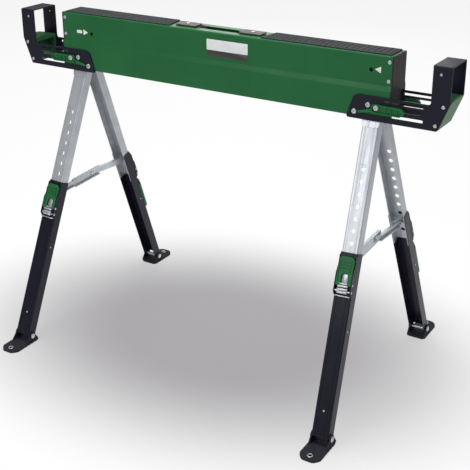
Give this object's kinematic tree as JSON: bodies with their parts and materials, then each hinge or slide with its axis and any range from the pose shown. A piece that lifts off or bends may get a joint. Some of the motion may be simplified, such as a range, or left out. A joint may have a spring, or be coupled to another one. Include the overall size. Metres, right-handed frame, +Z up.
{
  "type": "folding sawhorse",
  "caption": "Steel sawhorse with a deep beam, telescoping splayed legs that fold up into it, and sliding end forks that hold a timber.",
  "frame": {"origin": "on the floor, below the middle of the beam", "axes": "+X along the beam to its right end, -Y to the front, +Z up"},
  "size_m": [1.1778, 0.7156, 0.8358],
  "materials": {
    "green_steel": "gloss",
    "black_steel": "satin",
    "zinc_steel": "bright",
    "hinge_steel": "satin",
    "brown_plastic": "moulded",
    "strap_rubber": "moulded",
    "taupe_steel": "satin",
    "pad_rubber": "ribbed",
    "green_plastic": "moulded",
    "foot_rubber": "moulded"
  },
  "bodies": {
    "beam": {"beam_shell": "green_steel", "end_cap_left": "brown_plastic", "end_cap_right": "brown_plastic", "grip_pad_left": "pad_rubber", "grip_pad_right": "pad_rubber", "carry_strap": "strap_rubber", "handle_plates": "taupe_steel", "handle_screws": "zinc_steel", "cap_screws": "zinc_steel", "slide_bolts": "zinc_steel", "lever_bolts": "zinc_steel", "hinge_bracket_left": "hinge_steel", "hinge_bracket_right": "hinge_steel"},
    "pins_left": {"hinge_pins_left": "zinc_steel"},
    "carrier_left": {"leg_carrier_left": "hinge_steel", "splay_pins_left": "zinc_steel"},
    "fork_left": {"support_fork_left": "black_steel", "corner_block_left": "green_plastic", "corner_bolts_left": "zinc_steel"},
    "leg_left_front": {"upper_leg_left_front": "zinc_steel"},
    "lower_left_front": {"lower_leg_left_front": "black_steel", "latch_spring_left_front": "zinc_steel", "foot_bolt_left_front": "zinc_steel"},
    "latch_left_front": {"latch_lever_left_front": "green_plastic"},
    "shoe_left_front": {"foot_left_front": "foot_rubber"},
    "link_left_front": {"brace_link_left_front": "zinc_steel"},
    "lock_left_front": {"lock_lever_left_front": "green_plastic"},
    "leg_left_back": {"upper_leg_left_back": "zinc_steel"},
    "lower_left_back": {"lower_leg_left_back": "black_steel", "latch_spring_left_back": "zinc_steel", "foot_bolt_left_back": "zinc_steel"},
    "latch_left_back": {"latch_lever_left_back": "green_plastic"},
    "shoe_left_back": {"foot_left_back": "foot_rubber"},
    "link_left_back": {"brace_link_left_back": "zinc_steel"},
    "lock_left_back": {"lock_lever_left_back": "green_plastic"},
    "clip_left": {"storage_clip_left": "green_plastic"},
    "pins_right": {"hinge_pins_right": "zinc_steel"},
    "carrier_right": {"leg_carrier_right": "hinge_steel", "splay_pins_right": "zinc_steel"},
    "fork_right": {"support_fork_right": "black_steel", "corner_block_right": "green_plastic", "corner_bolts_right": "zinc_steel"},
    "leg_right_front": {"upper_leg_right_front": "zinc_steel"},
    "lower_right_front": {"lower_leg_right_front": "black_steel", "latch_spring_right_front": "zinc_steel", "foot_bolt_right_front": "zinc_steel"},
    "latch_right_front": {"latch_lever_right_front": "green_plastic"},
    "shoe_right_front": {"foot_right_front": "foot_rubber"},
    "link_right_front": {"brace_link_right_front": "zinc_steel"},
    "lock_right_front": {"lock_lever_right_front": "green_plastic"},
    "leg_right_back": {"upper_leg_right_back": "zinc_steel"},
    "lower_right_back": {"lower_leg_right_back": "black_steel", "latch_spring_right_back": "zinc_steel", "foot_bolt_right_back": "zinc_steel"},
    "latch_right_back": {"latch_lever_right_back": "green_plastic"},
    "shoe_right_back": {"foot_right_back": "foot_rubber"},
    "link_right_back": {"brace_link_right_back": "zinc_steel"},
    "lock_right_back": {"lock_lever_right_back": "green_plastic"},
    "clip_right": {"storage_clip_right": "green_plastic"}
  },
  "joints": [
    {"name": "fold_home_left", "type": "hinge", "parent": "beam", "child": "pins_left", "pos_m": [-0.38289, 0, 0.70479], "axis": [0, -1, 0], "range_deg": [0, 20]},
    {"name": "fold_left", "type": "hinge", "parent": "pins_left", "child": "carrier_left", "pos_m": [-0.38289, 0, 0.70479], "axis": [0, -1, 0], "range_deg": [0, 72.8]},
    {"name": "fork_slide_left", "type": "slide", "parent": "beam", "child": "fork_left", "axis": [1, 0, 0], "range_m": [0, 0.0895]},
    {"name": "splay_left_front", "type": "hinge", "parent": "carrier_left", "child": "leg_left_front", "pos_m": [-0.408, -0.014, 0.693], "axis": [0.9988, 0, -0.0489], "range_deg": [0, 22.01]},
    {"name": "brace_left_front", "type": "hinge", "parent": "leg_left_front", "child": "link_left_front", "pos_m": [-0.42331, -0.14062, 0.37999], "axis": [0.9988, 0, -0.0489], "range_deg": [0, 59.3]},
    {"name": "height_left_front", "type": "slide", "parent": "leg_left_front", "child": "lower_left_front", "axis": [0.0453, 0.3746, 0.9261], "range_m": [0, 0.1918]},
    {"name": "foot_left_front", "type": "hinge", "parent": "lower_left_front", "child": "shoe_left_front", "pos_m": [-0.44087, -0.28583, 0.021], "axis": [-0.9988, 0, 0.0489], "range_deg": [0, 112.01]},
    {"name": "latch_left_front", "type": "hinge", "parent": "lower_left_front", "child": "latch_left_front", "pos_m": [-0.42489, -0.1729, 0.34777], "axis": [-0.9988, 0, 0.0489], "range_deg": [-15, 2.2], "stiffness_Nm_per_rad": 0.4},
    {"name": "lock_left_front", "type": "hinge", "parent": "beam", "child": "lock_left_front", "pos_m": [-0.425, -0.045, 0.717], "axis": [0, 1, 0], "range_deg": [0, 75]},
    {"name": "splay_left_back", "type": "hinge", "parent": "carrier_left", "child": "leg_left_back", "pos_m": [-0.408, 0.014, 0.693], "axis": [-0.9988, 0, 0.0489], "range_deg": [0, 22.01]},
    {"name": "brace_left_back", "type": "hinge", "parent": "leg_left_back", "child": "link_left_back", "pos_m": [-0.42331, 0.14062, 0.37999], "axis": [-0.9988, 0, 0.0489], "range_deg": [0, 59.3]},
    {"name": "height_left_back", "type": "slide", "parent": "leg_left_back", "child": "lower_left_back", "axis": [0.0453, -0.3746, 0.9261], "range_m": [0, 0.1918]},
    {"name": "foot_left_back", "type": "hinge", "parent": "lower_left_back", "child": "shoe_left_back", "pos_m": [-0.44087, 0.28583, 0.021], "axis": [0.9988, 0, -0.0489], "range_deg": [0, 112.01]},
    {"name": "latch_left_back", "type": "hinge", "parent": "lower_left_back", "child": "latch_left_back", "pos_m": [-0.42489, 0.1729, 0.34777], "axis": [0.9988, 0, -0.0489], "range_deg": [-15, 2.2], "stiffness_Nm_per_rad": 0.4},
    {"name": "lock_left_back", "type": "hinge", "parent": "beam", "child": "lock_left_back", "pos_m": [-0.425, 0.045, 0.717], "axis": [0, 1, 0], "range_deg": [0, 75]},
    {"name": "clip_left", "type": "hinge", "parent": "lower_left_back", "child": "clip_left", "pos_m": [-0.43136, 0.22628, 0.21527], "axis": [0.9988, 0, -0.0489], "range_deg": [-25, 0], "stiffness_Nm_per_rad": 0.3, "springref_deg": 17.19},
    {"name": "fold_home_right", "type": "hinge", "parent": "beam", "child": "pins_right", "pos_m": [0.43184, 0, 0.70718], "axis": [0, 1, 0], "range_deg": [0, 20]},
    {"name": "fold_right", "type": "hinge", "parent": "pins_right", "child": "carrier_right", "pos_m": [0.43184, 0, 0.70718], "axis": [0, 1, 0], "range_deg": [0, 72.8]},
    {"name": "fork_slide_right", "type": "slide", "parent": "beam", "child": "fork_right", "axis": [-1, 0, 0], "range_m": [0, 0.0895]},
    {"name": "splay_right_front", "type": "hinge", "parent": "carrier_right", "child": "leg_right_front", "pos_m": [0.408, -0.014, 0.693], "axis": [0.9988, 0, 0.0489], "range_deg": [0, 22.01]},
    {"name": "brace_right_front", "type": "hinge", "parent": "leg_right_front", "child": "link_right_front", "pos_m": [0.42331, -0.14062, 0.37999], "axis": [0.9988, 0, 0.0489], "range_deg": [0, 59.3]},
    {"name": "height_right_front", "type": "slide", "parent": "leg_right_front", "child": "lower_right_front", "axis": [-0.0453, 0.3746, 0.9261], "range_m": [0, 0.1918]},
    {"name": "foot_right_front", "type": "hinge", "parent": "lower_right_front", "child": "shoe_right_front", "pos_m": [0.44087, -0.28583, 0.021], "axis": [-0.9988, 0, -0.0489], "range_deg": [0, 112.01]},
    {"name": "latch_right_front", "type": "hinge", "parent": "lower_right_front", "child": "latch_right_front", "pos_m": [0.42489, -0.1729, 0.34777], "axis": [-0.9988, 0, -0.0489], "range_deg": [-15, 2.2], "stiffness_Nm_per_rad": 0.4},
    {"name": "lock_right_front", "type": "hinge", "parent": "beam", "child": "lock_right_front", "pos_m": [0.425, -0.045, 0.717], "axis": [0, -1, 0], "range_deg": [0, 75]},
    {"name": "splay_right_back", "type": "hinge", "parent": "carrier_right", "child": "leg_right_back", "pos_m": [0.408, 0.014, 0.693], "axis": [-0.9988, 0, -0.0489], "range_deg": [0, 22.01]},
    {"name": "brace_right_back", "type": "hinge", "parent": "leg_right_back", "child": "link_right_back", "pos_m": [0.42331, 0.14062, 0.37999], "axis": [-0.9988, 0, -0.0489], "range_deg": [0, 59.3]},
    {"name": "height_right_back", "type": "slide", "parent": "leg_right_back", "child": "lower_right_back", "axis": [-0.0453, -0.3746, 0.9261], "range_m": [0, 0.1918]},
    {"name": "foot_right_back", "type": "hinge", "parent": "lower_right_back", "child": "shoe_right_back", "pos_m": [0.44087, 0.28583, 0.021], "axis": [0.9988, 0, 0.0489], "range_deg": [0, 112.01]},
    {"name": "latch_right_back", "type": "hinge", "parent": "lower_right_back", "child": "latch_right_back", "pos_m": [0.42489, 0.1729, 0.34777], "axis": [0.9988, 0, 0.0489], "range_deg": [-15, 2.2], "stiffness_Nm_per_rad": 0.4},
    {"name": "lock_right_back", "type": "hinge", "parent": "beam", "child": "lock_right_back", "pos_m": [0.425, 0.045, 0.717], "axis": [0, -1, 0], "range_deg": [0, 75]},
    {"name": "clip_right", "type": "hinge", "parent": "lower_right_back", "child": "clip_right", "pos_m": [0.43136, 0.22628, 0.21527], "axis": [0.9988, 0, 0.0489], "range_deg": [-25, 0], "stiffness_Nm_per_rad": 0.3, "springref_deg": 17.19}
  ],
  "couplings": [
    {"joint": "splay_left_front", "follows": "fold_left", "ratio": 0.3022},
    {"joint": "brace_left_front", "follows": "fold_left", "ratio": 0.81448},
    {"joint": "foot_left_front", "follows": "fold_left", "ratio": 1.5385},
    {"joint": "splay_left_back", "follows": "fold_left", "ratio": 0.3022},
    {"joint": "brace_left_back", "follows": "fold_left", "ratio": 0.81448},
    {"joint": "foot_left_back", "follows": "fold_left", "ratio": 1.5385},
    {"joint": "splay_right_front", "follows": "fold_right", "ratio": 0.3022},
    {"joint": "brace_right_front", "follows": "fold_right", "ratio": 0.81448},
    {"joint": "foot_right_front", "follows": "fold_right", "ratio": 1.5385},
    {"joint": "splay_right_back", "follows": "fold_right", "ratio": 0.3022},
    {"joint": "brace_right_back", "follows": "fold_right", "ratio": 0.81448},
    {"joint": "foot_right_back", "follows": "fold_right", "ratio": 1.5385}
  ]
}
